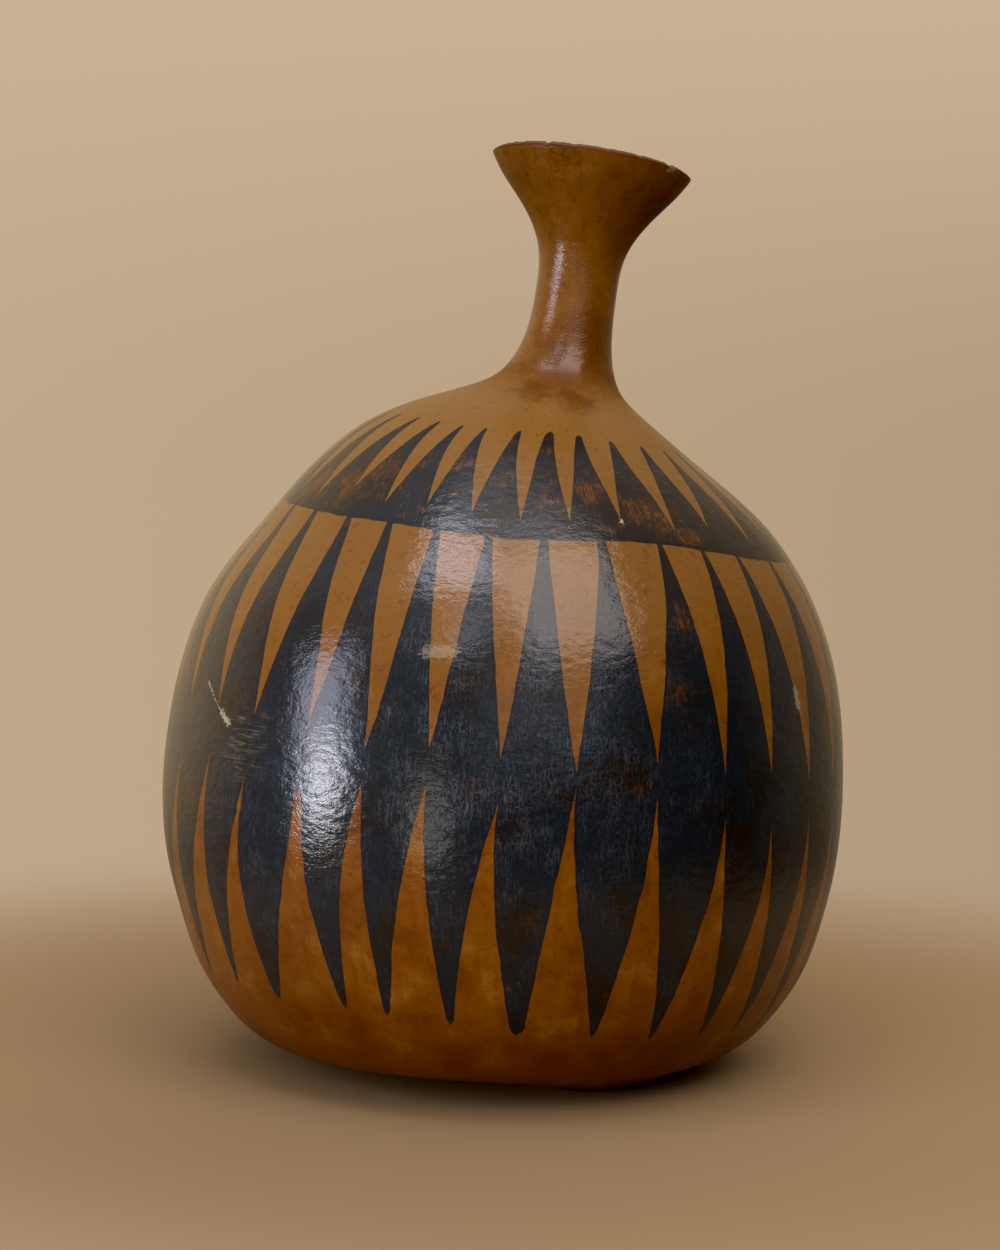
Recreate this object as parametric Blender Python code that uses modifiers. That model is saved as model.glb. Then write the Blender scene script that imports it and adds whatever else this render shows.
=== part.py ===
# Dried bottle gourd: one hollow, hard rind with a round belly, a thin leaning neck and a cut, flared mouth.
# Metres, +Z up. The gourd stands on three low swellings of its underside; the origin is under its middle.

import math

import bpy
import numpy as np

MM = 0.001

# Driving dimensions, in millimetres
WALL = 3.4  # thickness of the dried rind
RIM_ROUNDING = 0.7  # width of the worn edge round the cut mouth
SIDES = 48  # facets round the gourd
STEPS = 2  # rings made between two sections

# Sections from the mouth down to the middle of the underside. The outline is a smooth curve that these
# points steer: radius, height, and how far the section's centre stands right of and behind the belly's.
SECTIONS = [
    (32.1, 291.0, 25.2, 6.0),
    (28.7, 285.0, 24.4, 5.4),
    (20.1, 275.5, 23.8, 4.8),
    (13.1, 264.0, 22.5, 3.9),
    (12.9, 250.0, 20.9, 2.8),
    (13.3, 236.0, 19.0, 1.6),
    (16.4, 225.5, 16.8, 0.6),
    (21.0, 218.5, 15.0, 0.0),
    (37.5, 211.5, 9.0, 0.0),
    (52.8, 203.0, 4.2, 0.0),
    (68.6, 189.5, 3.0, 0.0),
    (83.8, 173.5, 2.8, 0.0),
    (97.8, 155.0, 1.4, 0.0),
    (105.5, 135.0, 1.2, 0.0),
    (109.9, 113.0, 0.8, 0.0),
    (111.7, 90.0, 0.0, 0.0),
    (110.6, 67.0, 0.0, 0.0),
    (105.0, 47.0, 0.4, 0.0),
    (100.2, 31.0, 0.4, 0.0),
    (90.2, 17.5, 0.4, 0.0),
    (81.0, 8.2, 0.4, 0.0),
    (63.0, 5.5, 0.0, 0.0),
    (44.0, 4.2, 0.0, 0.0),
    (27.0, 5.5, 0.0, 0.0),
    (12.0, 8.0, 0.0, 0.0),
    (0.0, 9.0, 0.0, 0.0),
]

# The neck leans right and a little backwards, and its sections lie square to it, as the cut mouth does.
# Each slope is the rise of a section for a unit to the right or backwards, and sets in between two heights.
LEAN_RISE, LEAN_START, LEAN_END = -0.132, 170.0, 225.0
MOUTH_RISE, MOUTH_START, MOUTH_END = -0.120, 262.0, 291.0

# The belly grew slightly lobed: wave count round the gourd and depth as a share of the radius
LOBES = [(2, 0.004), (3, 0.007), (5, 0.002)]
LOBE_START, LOBE_FULL, LOBE_FADE, LOBE_END = 5.0, 40.0, 170.0, 215.0

# The underside is uneven: three low swellings carry the gourd, each ending in a small worn flat, with a
# hollow and a fuller place between them. Each is placed from the belly's middle: right, back and depth.
SWELLINGS = [
    (29.0, -44.0, 6.5),
    (-38.0, 4.0, 6.5),
    (14.0, 38.0, 6.5),
    (-12.0, -50.0, -2.0),
    (56.0, -24.0, 1.5),
]
SWELLING_SPREAD = 16.0
SWELLING_END = 30.0  # height above which the swellings no longer shape the belly


def smooth_step(value, start, end):
    """0 before start, 1 after end, and an even ramp between them."""
    t = min(1.0, max(0.0, (value - start) / (end - start)))
    return t * t * (3.0 - 2.0 * t)


def outline(sections, steps):
    """Points on the cubic B-spline that the sections steer, from the first to the last."""
    cage = np.array(sections)
    cage = np.vstack([2 * cage[0] - cage[1], cage, 2 * cage[-1] - cage[-2]])
    points = []
    for i in range(len(cage) - 3):
        for k in range(steps):
            t = k / steps
            weights = np.array([(1 - t) ** 3, 3 * t**3 - 6 * t**2 + 4, -3 * t**3 + 3 * t**2 + 3 * t + 1, t**3])
            points.append(weights @ cage[i : i + 4] / 6)
    points.append(cage[-2])
    return np.array(points)


def turned_skin(points):
    """The open outer skin: the outline turned about Z by a Screw modifier, as a plain mesh in millimetres."""
    mesh = bpy.data.meshes.new("gourd_outline")
    verts = [(radius, 0.0, height) for radius, height in points[:, :2]]
    mesh.from_pydata(verts, [(i, i + 1) for i in range(len(verts) - 1)], [])
    turner = bpy.data.objects.new("gourd_outline", mesh)
    bpy.context.scene.collection.objects.link(turner)
    screw = turner.modifiers.new("turn", "SCREW")
    screw.steps = screw.render_steps = SIDES
    screw.use_merge_vertices = True
    screw.merge_threshold = 0.0001
    graph = bpy.context.evaluated_depsgraph_get()
    skin = bpy.data.meshes.new_from_object(turner.evaluated_get(graph))
    bpy.data.objects.remove(turner)
    bpy.data.meshes.remove(mesh)
    return skin


def lobe_factor(angle, height):
    """How far the belly swells or flattens at this place round the gourd."""
    strength = smooth_step(height, LOBE_START, LOBE_FULL) * (1 - smooth_step(height, LOBE_FADE, LOBE_END))
    return 1 + strength * sum(depth * math.sin(waves * angle) for waves, depth in LOBES)


def sag(x, y, height):
    """How far the underside hangs down towards the surface that it stands on."""
    hang = 0.0
    for right, back, depth in SWELLINGS:
        away = (x - right) ** 2 + (y - back) ** 2
        hang += depth * math.exp(-away / (2 * SWELLING_SPREAD**2))
    return hang * (1 - smooth_step(height, 0.0, SWELLING_END))


def grow(skin, points):
    """Moves the turned skin's points to where the gourd grew: lobes, swellings, leaning neck, sloped mouth."""
    rising = points[np.argsort(points[:, 1])]
    for vertex in skin.vertices:
        x, y, height = vertex.co
        factor = lobe_factor(math.atan2(y, x), height)
        x, y = x * factor, y * factor
        lift = LEAN_RISE * x * smooth_step(height, LEAN_START, LEAN_END)
        lift += MOUTH_RISE * y * smooth_step(height, MOUTH_START, MOUTH_END)
        z = max(0.0, height + lift - sag(x, y, height))
        x += np.interp(height, rising[:, 1], rising[:, 2])
        y += np.interp(height, rising[:, 1], rising[:, 3])
        vertex.co = (x, y, z)


def centre_over_origin(mesh):
    """Scales the mesh to metres and puts the middle of its box over the origin."""
    corners = np.array([vertex.co for vertex in mesh.vertices])
    middle = (corners.min(axis=0) + corners.max(axis=0)) / 2
    for vertex in mesh.vertices:
        x, y, z = vertex.co
        vertex.co = ((x - middle[0]) * MM, (y - middle[1]) * MM, z * MM)


def rind_material():
    """The bare dried rind: warm brown with a satin finish."""
    material = bpy.data.materials.new("gourd_rind")
    material.use_nodes = True
    shader = material.node_tree.nodes["Principled BSDF"]
    shader.inputs["Base Color"].default_value = (0.33, 0.13, 0.03, 1.0)
    shader.inputs["Roughness"].default_value = 0.38
    shader.inputs["Metallic"].default_value = 0.0
    material.diffuse_color = (0.33, 0.13, 0.03, 1.0)
    return material


def add_wall(gourd):
    """Gives the skin its thickness inwards and wears the cut edge round the mouth."""
    wall = gourd.modifiers.new("wall", "SOLIDIFY")
    wall.thickness = WALL * MM
    wall.offset = -1.0
    wall.use_even_offset = True
    worn = gourd.modifiers.new("worn_rim", "BEVEL")
    worn.width = RIM_ROUNDING * MM
    worn.segments = 2
    worn.limit_method = "ANGLE"
    worn.angle_limit = math.radians(50)


def main():
    for old in list(bpy.data.objects):
        bpy.data.objects.remove(old)
    parts = bpy.data.collections.new("dried_bottle_gourd")
    bpy.context.scene.collection.children.link(parts)
    points = outline(SECTIONS, STEPS)
    skin = turned_skin(points)
    grow(skin, points)
    centre_over_origin(skin)
    skin.name = "gourd_shell"
    skin.shade_smooth()
    skin.materials.append(rind_material())
    gourd = bpy.data.objects.new("gourd_shell", skin)
    parts.objects.link(gourd)
    add_wall(gourd)


main()
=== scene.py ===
# The looks of a dried bottle gourd: one hollow rind, painted with a toothed black band round its shoulder
# and a row of long black diamonds round its belly, under a thin satin varnish.
# Lengths are in millimetres until a mesh is finished, when they become metres in the frame's own axes.

import math
import random

import bmesh
import bpy
import numpy as np
from mathutils import Matrix, Quaternion, Vector, noise


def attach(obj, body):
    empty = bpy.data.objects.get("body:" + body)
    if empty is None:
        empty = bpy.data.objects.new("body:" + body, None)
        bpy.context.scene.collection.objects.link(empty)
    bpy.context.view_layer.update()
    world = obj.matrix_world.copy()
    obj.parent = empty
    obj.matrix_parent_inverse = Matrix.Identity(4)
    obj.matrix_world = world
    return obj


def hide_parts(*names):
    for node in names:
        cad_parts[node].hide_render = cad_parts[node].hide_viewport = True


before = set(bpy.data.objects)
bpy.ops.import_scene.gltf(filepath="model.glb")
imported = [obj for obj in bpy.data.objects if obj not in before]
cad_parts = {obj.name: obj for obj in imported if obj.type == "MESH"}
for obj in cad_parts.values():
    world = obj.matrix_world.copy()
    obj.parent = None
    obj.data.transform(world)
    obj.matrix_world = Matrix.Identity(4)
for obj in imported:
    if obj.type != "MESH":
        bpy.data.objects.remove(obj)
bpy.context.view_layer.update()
print("frame loaded:", sorted(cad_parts))

millimetre = 0.001

# The grown shape. The sections, slopes, lobes and swellings are those of the solid that this rind replaces.
gourd = {
    # radius, height, and how far the centre stands right of and behind the belly's, from mouth to underside
    "sections": [
        (32.1, 291.0, 25.2, 6.0),
        (28.7, 285.0, 24.4, 5.4),
        (20.1, 275.5, 23.8, 4.8),
        (13.1, 264.0, 22.5, 3.9),
        (12.9, 250.0, 20.9, 2.8),
        (13.3, 236.0, 19.0, 1.6),
        (16.4, 225.5, 16.8, 0.6),
        (21.0, 218.5, 15.0, 0.0),
        (37.5, 211.5, 9.0, 0.0),
        (52.8, 203.0, 4.2, 0.0),
        (68.6, 189.5, 3.0, 0.0),
        (83.8, 173.5, 2.8, 0.0),
        (97.8, 155.0, 1.4, 0.0),
        (105.5, 135.0, 1.2, 0.0),
        (109.9, 113.0, 0.8, 0.0),
        (111.7, 90.0, 0.0, 0.0),
        (110.6, 67.0, 0.0, 0.0),
        (105.0, 47.0, 0.4, 0.0),
        (100.2, 31.0, 0.4, 0.0),
        (90.2, 17.5, 0.4, 0.0),
        (81.0, 8.2, 0.4, 0.0),
        (63.0, 5.5, 0.0, 0.0),
        (44.0, 4.2, 0.0, 0.0),
        (27.0, 5.5, 0.0, 0.0),
        (12.0, 8.0, 0.0, 0.0),
        (0.0, 9.0, 0.0, 0.0),
    ],
    "leanRise": (-0.132, 170.0, 225.0),  # rise for a unit to the right, and the heights where it sets in
    "mouthRise": (-0.120, 262.0, 291.0),  # rise for a unit backwards, and the heights where it sets in
    "lobes": [(2, 0.004), (3, 0.007), (5, 0.002)],  # waves round the belly, and their share of the radius
    "lobeHeights": (5.0, 40.0, 170.0, 215.0),
    "swellings": [  # right, back and depth of each place where the underside hangs down
        (29.0, -44.0, 6.5),
        (-38.0, 4.0, 6.5),
        (14.0, 38.0, 6.5),
        (-12.0, -50.0, -2.0),
        (56.0, -24.0, 1.5),
    ],
    "swellingSpread": 16.0,
    "swellingEnd": 30.0,
    "wall": 3.4,  # thickness of the rind
    "lipWall": 2.0,  # thickness at the cut mouth, where it was scraped thin
    "lipLength": 22.0,
    "curveSteps": 24,  # points between two sections, before they are spaced evenly
    "aroundSteps": 256,
    "outerRing": 1.6,  # distance between rings of the outer skin
    "innerRing": 6.0,  # the inside is plainer, so its rings stand further apart
    "mergeGap": 0.001,
    "poleReach": (5.0, 12.0),  # near the middle of the underside the skin is left even
    "dents": [(46.0, 0.32), (19.0, 0.10), (9.0, 0.035)],  # size and depth of the skin's soft unevenness
    "dentFoot": (2.0, 12.0),  # heights where it sets in and where it weakens, and by how much
    "dentTop": (215.0, 250.0),
    "neckCalm": 0.6,
    "chipDepth": 3.5,  # how far below the lip a chip is felt
    "chips": [  # angle, half width in degrees and depth of each notch in the lip
        (-158.0, 3.0, 0.30),
        (-149.0, 1.6, 0.45),
        (-139.0, 4.0, 0.20),
        (-119.0, 2.0, 0.45),
        (-103.0, 2.4, 0.30),
        (-84.0, 3.0, 0.20),
        (-63.0, 2.0, 0.30),
        (-39.0, 2.6, 1.10),
        (-12.0, 2.0, 0.40),
    ],
    "moreChips": 14,  # smaller notches on the far side, drawn by lot
    "chipRanges": [(15, 195), (1.5, 3.5), (0.15, 0.5)],  # their angles, half widths and depths
    "chipSeed": 11,
    "chipCore": 0.3,  # the share of a chip's half width that is cut to its full depth
    "lipWaves": (37, 23, 71),  # how often the cut's roughness rises round the mouth
    "lipRoughness": 0.10,
}


def smoothStep(value, start, end):
    t = np.clip((value - start) / (end - start), 0.0, 1.0)
    return t * t * (3.0 - 2.0 * t)


def outlineCurve(sections, steps):
    # points on the cubic B-spline that the sections steer
    cage = np.array(sections)
    cage = np.vstack([2 * cage[0] - cage[1], cage, 2 * cage[-1] - cage[-2]])
    t = (np.arange(steps) / steps)[:, None]
    weights = ((1 - t) ** 3, 3 * t**3 - 6 * t**2 + 4, -3 * t**3 + 3 * t**2 + 3 * t + 1, t**3)
    runs = [sum(w * cage[i + k] for k, w in enumerate(weights)) / 6 for i in range(len(cage) - 3)]
    return np.vstack(runs + [cage[-2]])


def evenPoints(points, gap):
    # the same curve with its points about one gap apart
    along = np.concatenate([[0.0], np.cumsum(np.hypot(*np.diff(points[:, :2], axis=0).T))])
    places = np.linspace(0.0, along[-1], int(along[-1] / gap) + 1)
    return np.column_stack([np.interp(places, along, column) for column in points.T]), places


outline = outlineCurve(gourd["sections"], gourd["curveSteps"])
rising = outline[np.argsort(outline[:, 1])]


def innerOutline(points, along):
    # the inside of the wall: the outline moved inwards, by less at the thin lip
    run = np.gradient(points[:, :2], axis=0)
    run /= np.hypot(*run.T)[:, None]
    wall, lipWall = gourd["wall"], gourd["lipWall"]
    depth = wall + (lipWall - wall) * (1 - smoothStep(along, 0.0, gourd["lipLength"]))
    inner = points[:, :2] + depth[:, None] * np.column_stack([run[:, 1], -run[:, 0]])
    inner[:, 0] = np.maximum(inner[:, 0], 0.0)
    return inner


def spinRind():
    # one closed profile turned about Z: down the outside from the lip, then up the inside and round the lip
    outer, _ = evenPoints(outline, gourd["outerRing"])
    inner = innerOutline(*evenPoints(outline, gourd["innerRing"]))
    inner[-1, 0] = 0.0
    bm = bmesh.new()
    side = bm.verts.layers.float.new("wallSide")
    profile = [bm.verts.new((r, 0.0, h)) for r, h in outer[:, :2]]
    inside = [bm.verts.new((r, 0.0, h)) for r, h in inner[::-1]]
    for vert in inside:
        vert[side] = 1.0
    edges = [bm.edges.new(pair) for run in (profile, inside) for pair in zip(run, run[1:])]
    edges.append(bm.edges.new((inside[-1], profile[0])))
    bmesh.ops.spin(
        bm, geom=profile + inside + edges, cent=(0, 0, 0), axis=(0, 0, 1), dvec=(0, 0, 0),
        angle=2 * math.pi, steps=gourd["aroundSteps"], use_merge=True,
    )
    bmesh.ops.remove_doubles(bm, verts=bm.verts, dist=gourd["mergeGap"])
    bmesh.ops.recalc_face_normals(bm, faces=bm.faces)
    return bm


def lobeFactor(angle, height):
    start, full, fade, end = gourd["lobeHeights"]
    strength = smoothStep(height, start, full) * (1 - smoothStep(height, fade, end))
    return 1 + strength * sum(depth * np.sin(waves * angle) for waves, depth in gourd["lobes"])


def sag(x, y, height):
    hang = sum(
        depth * np.exp(-((x - right) ** 2 + (y - back) ** 2) / (2 * gourd["swellingSpread"] ** 2))
        for right, back, depth in gourd["swellings"]
    )
    return hang * (1 - smoothStep(height, 0.0, gourd["swellingEnd"]))


def lipDrop(angle):
    # how far the cut lip stands below its plain edge, in degrees round the mouth
    draw = random.Random(gourd["chipSeed"])
    more = [[draw.uniform(*span) for span in gourd["chipRanges"]] for _ in range(gourd["moreChips"])]
    notches = 0.0
    for centre, half, depth in gourd["chips"] + more:
        away = np.abs((angle - centre + 180) % 360 - 180)
        notches = notches + depth * (1 - smoothStep(away, gourd["chipCore"] * half, half))
    first, second, third = (np.radians(angle) * waves for waves in gourd["lipWaves"])
    jagged = np.sin(first) * np.sin(second + 1) + np.sin(third + 2)
    return notches + gourd["lipRoughness"] * (1 + 0.5 * jagged)


def dent(co, height):
    # soft unevenness, felt along the skin's own direction away from the axis
    depth = np.zeros(len(co))
    for size, amount in gourd["dents"]:
        depth += amount * np.array([noise.noise(Vector(point) / size) for point in co])
    onNeck = gourd["neckCalm"] * smoothStep(height, *gourd["dentTop"])
    return depth * smoothStep(height, *gourd["dentFoot"]) * (1 - onNeck)


def growRind(co, inside):
    # moves the turned points to where the gourd grew; returns the new points
    x, y, height = co.T
    angle = np.arctan2(y, x)
    reach = np.maximum(np.hypot(x, y), 1.0)
    factor = lobeFactor(angle, height) + dent(co, height) / reach * smoothStep(reach, *gourd["poleReach"])
    x, y = x * factor, y * factor
    lipHeight = gourd["sections"][0][1]
    nearLip = smoothStep(height, lipHeight - gourd["chipDepth"], lipHeight)
    height = height - lipDrop(np.degrees(angle)) * nearLip
    leanRise, leanStart, leanEnd = gourd["leanRise"]
    mouthRise, mouthStart, mouthEnd = gourd["mouthRise"]
    lift = leanRise * x * smoothStep(height, leanStart, leanEnd)
    lift += mouthRise * y * smoothStep(height, mouthStart, mouthEnd)
    z = np.maximum(height + lift - sag(x, y, height), inside * gourd["wall"])
    x = x + np.interp(height, rising[:, 1], rising[:, 2])
    y = y + np.interp(height, rising[:, 1], rising[:, 3])
    return np.column_stack([x, y, z])


# The painted pattern. Angles are in degrees round the belly (0 right, -90 front), heights in millimetres.
# The lists hold what was drawn by hand on the side that is seen most; the rest follows the same spacing.
painting = {
    "diamondCount": 31,
    "diamondTops": [
        -157.0, -144.5, -131.2, -119.4, -107.7, -96.2, -84.6, -72.2, -58.7, -47.7, -37.4, -24.5,
    ],
    "diamondSides": [
        -145.8, -135.3, -123.3, -112.6, -102.3, -91.2, -79.6, -66.2, -53.3, -42.5, -30.8, -19.0,
    ],
    "diamondBottoms": [
        -157.0, -144.5, -132.8, -117.5, -109.9, -98.9, -87.5, -73.9, -62.1, -50.1, -39.2, -28.0,
    ],
    "upperFullness": [1.1, 1.1, 1.15, 1.0, 0.95, 1.1, 1.0, 1.0, 1.2, 1.15, 1.05, 1.1],
    "lowerFullness": [1.2, 1.2, 1.75, 0.9, 1.0, 1.05, 1.2, 1.45, 1.4, 1.35, 1.25, 1.2],
    "upperBows": [0.05, 0.08, 0.18, 0.14, 0.11, 0.03, -0.03, -0.04, 0.0, -0.03, -0.03, 0.0],
    "lowerBows": [-0.03, -0.06, -0.10, -0.06, -0.06, -0.07, -0.09, 0.0, 0.02, 0.02, 0.06, 0.05],
    "topWidths": [0.08, 0.07, 0.07, 0.07, 0.07, 0.07, 0.07, 0.07, 0.05, 0.05, 0.05, 0.05],
    "bottomWidths": [0.04, 0.03, 0.05, 0.05, 0.06, 0.05, 0.10, 0.04, 0.03, 0.03, 0.03, 0.03],
    "bandLine": [
        (-170, 181.3), (-125, 179.2), (-90, 175.4), (-65, 175.0), (-53, 173.0), (-29, 167.3),
        (-8, 164.7), (45, 166.0), (90, 171.0), (135, 178.0),
    ],
    "upperValleys": [
        (-146, 120.5), (-135, 119.6), (-123, 120.2), (-112, 113.6), (-102, 114.9), (-91, 112.5),
        (-80, 108.8), (-66, 110.7), (-53, 105.4), (-42, 104.3), (-31, 99.4), (10, 96.0), (60, 100.0),
        (120, 110.0), (180, 118.0),
    ],
    "lowerPeaks": [
        (-146, 107.3), (-136, 104.3), (-124, 105.6), (-113, 104.4), (-102, 105.1), (-92, 100.5),
        (-80, 105.3), (-66, 103.1), (-53, 94.3), (-42, 89.0), (-31, 91.0), (10, 86.0), (60, 91.0),
        (120, 99.0), (180, 106.0),
    ],
    "bottomTips": [
        (-144, 34.9), (-133, 34.0), (-117, 34.9), (-110, 34.1), (-99, 32.3), (-87, 29.8), (-74, 27.8),
        (-62, 25.1), (-50, 23.5), (-39, 21.8), (-28, 18.7), (10, 18.0), (60, 22.0), (120, 29.0),
        (180, 34.0),
    ],
    "toothCount": 30,
    "toothTips": [-153.5, -139.0, -127.3, -116.3, -106.9, -94.0, -82.6, -71.1, -57.5, -43.0, -29.5],
    "toothSides": [-149.4, -136.4, -123.7, -112.2, -101.0, -89.7, -78.4, -66.1, -52.7, -41.3, -28.1],
    "toothFullness": [1.1, 1.1, 1.1, 1.1, 1.1, 1.1, 1.05, 1.15, 1.35, 1.2, 1.1],
    "toothWidths": [0.06, 0.06, 0.07, 0.07, 0.06, 0.07, 0.15, 0.10, 0.07, 0.06, 0.05],
    "toothValleys": [
        (-149, 182.8), (-136, 186.7), (-124, 183.6), (-112, 184.2), (-101, 182.4), (-90, 180.6),
        (-78, 180.7), (-66, 181.2), (-53, 176.7), (-41, 178.4), (-28, 172.8), (-8, 170.5), (45, 172.0),
        (90, 177.0), (135, 184.0), (180, 186.0),
    ],
    "toothHeights": [(-150, 206.7), (-116, 205.8), (-71, 206.5), (-29, 204.5), (60, 205.5), (120, 206.5)],
    "handJitter": 0.9,  # degrees by which the unseen marks stray from an even spacing
    "seed": 7,
    "tipSlope": 4,  # how fast a mark closes past its tip
    "solid": 0.6,  # more than half a spacing, so the marks run together
    "poleGap": 0.01,
    "grainReach": 100.0,  # a middling radius of the belly, so that the grain has its true scale there
}


def roundCurve(points, angle):
    # a value that runs through the points and closes round the gourd
    places, values = np.array(sorted(points), float).T
    places = np.concatenate([places - 360, places, places + 360])
    return np.interp(angle, places, np.tile(values, 3))


def fullRound(drawn, count, draw):
    # the drawn angles, then evenly spaced ones with a hand's jitter until the first one comes round again
    gap = (drawn[0] + 360 - drawn[-1]) / (count - len(drawn) + 1)
    jitter = painting["handJitter"]
    evenly = [drawn[-1] + gap * (i + 1) for i in range(count - len(drawn))]
    return drawn + [place + draw.uniform(-jitter, jitter) for place in evenly]


def fullList(drawn, count, draw):
    return np.array(drawn + [draw.choice(drawn) for _ in range(count - len(drawn))])


def chartAround(angles, angle, offset):
    # counts marks round the gourd: a whole number (plus offset) at each of the angles, straight between them
    count = len(angles)
    places = np.concatenate([np.array(angles) + 360 * turn for turn in (-1, 0, 1)])
    numbers = np.concatenate([np.arange(count) + offset + count * turn for turn in (-1, 0, 1)])
    return np.interp(angle, places, numbers)


def taper(share, fullness, tip):
    # half-width of a painted point, in spacings: half a spacing at its foot and the tip's width at its end
    inPoint = 0.5 * (1 - np.clip(share, 0, 1) ** fullness) + tip * np.clip(share, 0, 1)
    return np.where(share > 1, tip - (share - 1) * painting["tipSlope"], inPoint)


def diamondChart(angle, height):
    draw = random.Random(painting["seed"])
    count = painting["diamondCount"]
    tops, sides, bottoms = (
        fullRound(painting[name], count, draw) for name in ("diamondTops", "diamondSides", "diamondBottoms")
    )
    upperFull, lowerFull, topWidth, bottomWidth, upperBow, lowerBow = (
        fullList(painting[name], count, draw)
        for name in ("upperFullness", "lowerFullness", "topWidths", "bottomWidths", "upperBows", "lowerBows")
    )
    band, valley, peak, tip = (
        roundCurve(painting[name], angle) for name in ("bandLine", "upperValleys", "lowerPeaks", "bottomTips")
    )
    middle = chartAround(sides, angle, 0.5)
    upShare = (height - valley) / (band - valley)
    downShare = (peak - height) / (peak - tip)
    up, down = np.clip(upShare, 0, 1), np.clip(downShare, 0, 1)
    across = middle + up * (chartAround(tops, angle, 0) - middle)
    across = across + down * (chartAround(bottoms, angle, 0) - middle)
    # a mark leans aside between its ends, as the hand drew it
    numbers = np.arange(count + 1)
    for share, bow in ((up, upperBow), (down, lowerBow)):
        across = across - 4 * share * (1 - share) * np.interp(across % count, numbers, np.append(bow, bow[0]))
    mark = np.round(across).astype(int) % count
    upper = taper(np.clip(upShare, 0, 1), upperFull[mark], topWidth[mark])
    lower = taper(np.clip(downShare, 0, 2), lowerFull[mark], bottomWidth[mark])
    halfWidth = np.where(upShare > 0, upper, np.where(downShare > 0, lower, painting["solid"]))
    return across, halfWidth, height - band


def toothChart(angle, height):
    draw = random.Random(painting["seed"] + 1)
    count = painting["toothCount"]
    tips, sides = (fullRound(painting[name], count, draw) for name in ("toothTips", "toothSides"))
    fullness, width = (fullList(painting[name], count, draw) for name in ("toothFullness", "toothWidths"))
    valley, top = (roundCurve(painting[name], angle) for name in ("toothValleys", "toothHeights"))
    middle = chartAround(sides, angle, 0.5)
    share = (height - valley) / (top - valley)
    across = middle + np.clip(share, 0, 1) * (chartAround(tips, angle, 0) - middle)
    mark = np.round(across).astype(int) % count
    point = taper(np.clip(share, 0, 2), fullness[mark], width[mark])
    halfWidth = np.where(share > 0, point, painting["solid"])
    return across, halfWidth


def chartRind(mesh, turned):
    # UV maps "diamonds" and "teeth" hold the place across the marks and the marks' half-width there
    loopVert = np.empty(len(mesh.loops), int)
    mesh.loops.foreach_get("vertex_index", loopVert)
    angle = np.degrees(np.arctan2(turned[:, 1], turned[:, 0]))
    height = turned[:, 2]
    starts = np.array([face.loop_start for face in mesh.polygons])
    totals = np.array([face.loop_total for face in mesh.polygons])
    faceOf = np.repeat(np.arange(len(starts)), totals)
    loopAngle = angle[loopVert]
    # every corner of a face takes its angle on the same side of the seam, and the pole takes its face's angle
    atPole = np.hypot(*turned[:, :2].T)[loopVert] < painting["poleGap"]
    first = starts + np.where(atPole[starts], 1, 0)
    reference = loopAngle[first][faceOf]
    loopAngle = np.where(atPole, reference, loopAngle)
    loopAngle = reference + (loopAngle - reference + 180) % 360 - 180
    across, halfWidth, _ = diamondChart(loopAngle, height[loopVert])
    acrossTeeth, halfTooth = toothChart(loopAngle, height[loopVert])
    for name, columns in (("diamonds", (across, halfWidth)), ("teeth", (acrossTeeth, halfTooth))):
        chart = mesh.uv_layers.new(name=name)
        chart.data.foreach_set("uv", np.column_stack(columns).ravel())
    aboveBand = mesh.attributes.new("aboveBand", "FLOAT", "POINT")
    aboveBand.data.foreach_set("value", diamondChart(angle, height)[2])
    growth = mesh.attributes.new("growth", "FLOAT_VECTOR", "POINT")
    turn = np.radians(angle)
    reach = painting["grainReach"]
    unrolled = np.column_stack([reach * np.cos(turn), reach * np.sin(turn), height])
    growth.data.foreach_set("vector", unrolled.ravel())


def buildRind():
    bm = spinRind()
    mesh = bpy.data.meshes.new("gourdRind")
    bm.to_mesh(mesh)
    bm.free()
    turned = np.empty(len(mesh.vertices) * 3)
    mesh.vertices.foreach_get("co", turned)
    turned = turned.reshape(-1, 3)
    inside = np.empty(len(mesh.vertices))
    mesh.attributes["wallSide"].data.foreach_get("value", inside)
    grown = growRind(turned, inside)
    middle = (grown.min(axis=0) + grown.max(axis=0)) / 2
    grown[:, :2] -= middle[:2]
    chartRind(mesh, turned)
    cut = [int(max(inside[i] for i in face.vertices) > 0.5) for face in mesh.polygons]
    mesh.polygons.foreach_set("material_index", cut)
    mesh.vertices.foreach_set("co", (grown * millimetre).ravel())
    mesh.shade_smooth()
    rind = bpy.data.objects.new("gourdRind", mesh)
    bpy.context.scene.collection.objects.link(rind)
    return rind


def linear(hexColour):
    # sRGB hex to the linear colour that shaders use
    channels = [int(hexColour[i : i + 2], 16) / 255 for i in (1, 3, 5)]
    return tuple(c / 12.92 if c <= 0.04045 else ((c + 0.055) / 1.055) ** 2.4 for c in channels) + (1.0,)


def addNode(tree, kind, settings, links, out=0):
    # one node with its settings; each link is a socket to join or a plain value; gives the output asked for
    node = tree.nodes.new("ShaderNode" + kind)
    for name, value in settings.items():
        setattr(node, name, value)
    for name, source in links.items():
        if isinstance(source, bpy.types.NodeSocket):
            tree.links.new(source, node.inputs[name])
        else:
            node.inputs[name].default_value = source
    return node.outputs[out]


def newMaterial(name):
    material = bpy.data.materials.new(name)
    material.use_nodes = True
    tree = material.node_tree
    return material, tree, tree.nodes["Principled BSDF"]


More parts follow.
